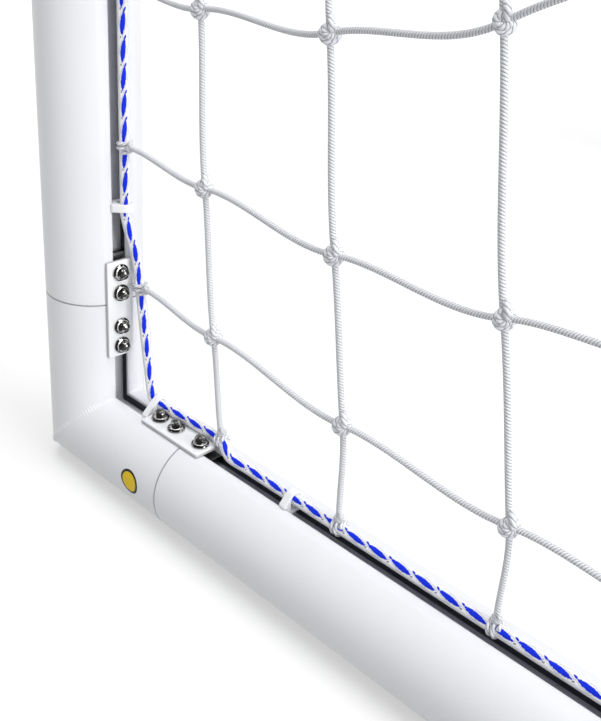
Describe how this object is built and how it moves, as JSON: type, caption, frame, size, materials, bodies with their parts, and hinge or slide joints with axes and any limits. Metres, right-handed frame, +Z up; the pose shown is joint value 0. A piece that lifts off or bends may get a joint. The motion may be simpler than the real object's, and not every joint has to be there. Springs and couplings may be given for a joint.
{
  "type": "mini goal",
  "caption": "Small football goal of bolted white grooved tube with mitred corners, a laced blue-flecked net rope, net clips and a knotted white net.",
  "frame": {"origin": "middle of the footprint, on the ground", "axes": "+Z up, the mouth faces -Y, +X is the right side seen from the front, and the ground frame runs back along +Y"},
  "size_m": [1.35, 0.975, 0.875],
  "materials": {
    "frame_paint": "white powder coat, satin",
    "sleeve": "as extruded",
    "plate": "white powder coat, satin",
    "steel": "bright stainless",
    "clip": "white moulded",
    "rope": "braided white rope with a blue fleck",
    "net": "twisted white cord"
  },
  "bodies": {
    "root": {"back_net": "net", "clip_bar_left": "clip", "clip_bar_right": "clip", "clip_crossbar_left": "clip", "clip_crossbar_right": "clip", "clip_hook_left": "clip", "clip_hook_right": "clip", "clip_post_left": "clip", "clip_post_right": "clip", "clip_rear_bar_left": "clip", "clip_rear_bar_right": "clip", "crossbar": "frame_paint", "front_bar_left_bolts": "steel", "front_bar_left_plate": "plate", "front_bar_right_bolts": "steel", "front_bar_right_plate": "plate", "front_corner_left": "frame_paint", "front_corner_right": "frame_paint", "front_corner_sleeve_left": "sleeve", "front_corner_sleeve_right": "sleeve", "front_post_left_bolts": "steel", "front_post_left_plate": "plate", "front_post_right_bolts": "steel", "front_post_right_plate": "plate", "ground_bar_left": "frame_paint", "ground_bar_right": "frame_paint", "post_left": "frame_paint", "post_right": "frame_paint", "rear_bar": "frame_paint", "rear_bar_left_bolts": "steel", "rear_bar_left_plate": "plate", "rear_bar_right_bolts": "steel", "rear_bar_right_plate": "plate", "rear_corner_left": "frame_paint", "rear_corner_right": "frame_paint", "rear_corner_sleeve_left": "sleeve", "rear_corner_sleeve_right": "sleeve", "rear_side_left_bolts": "steel", "rear_side_left_plate": "plate", "rear_side_right_bolts": "steel", "rear_side_right_plate": "plate", "rope": "rope", "side_net_left": "net", "side_net_right": "net", "slope_rope_left": "rope", "slope_rope_right": "rope", "top_bar_left_bolts": "steel", "top_bar_left_plate": "plate", "top_bar_right_bolts": "steel", "top_bar_right_plate": "plate", "top_corner_left": "frame_paint", "top_corner_right": "frame_paint", "top_corner_sleeve_left": "sleeve", "top_corner_sleeve_right": "sleeve", "top_post_left_bolts": "steel", "top_post_left_plate": "plate", "top_post_right_bolts": "steel", "top_post_right_plate": "plate"}
  },
  "joints": []
}
